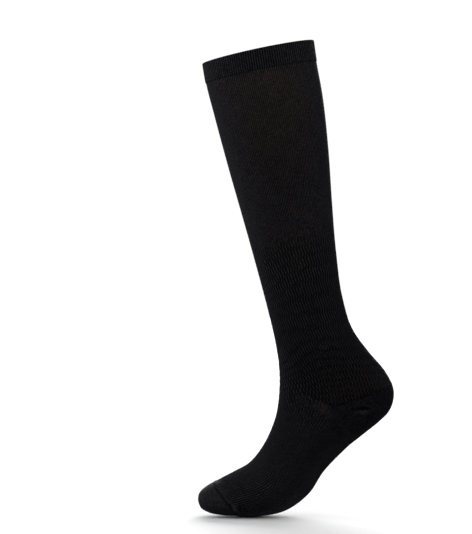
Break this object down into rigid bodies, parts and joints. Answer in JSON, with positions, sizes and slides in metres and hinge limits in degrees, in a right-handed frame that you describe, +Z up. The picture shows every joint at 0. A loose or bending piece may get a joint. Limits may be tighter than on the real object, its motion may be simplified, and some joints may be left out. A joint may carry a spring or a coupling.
{
  "type": "compression stocking",
  "caption": "Knee-high compression stocking, ribbed, with a turned welt, short-row heel pocket and plain toe cap, filled out in its worn pose.",
  "frame": {"origin": "middle of the top opening, where the wearer's leg holds the stocking", "axes": "+Z up along the leaning leg, +X to the heel, the toe at -X, +Y to one side"},
  "size_m": [0.2152, 0.1096, 0.5233],
  "materials": {
    "welt_knit": "double-layer rib knit, black, matt",
    "leg_knit": "ribbed compression knit, black, slightly sheer, matt",
    "heel_knit": "dense plain knit, black, matt",
    "foot_knit": "ribbed compression knit, black, matt",
    "toe_knit": "plain jersey knit, black, matt"
  },
  "bodies": {
    "root": {"welt": "welt_knit", "leg": "leg_knit", "heel": "heel_knit", "foot": "foot_knit", "toe": "toe_knit"}
  },
  "joints": []
}
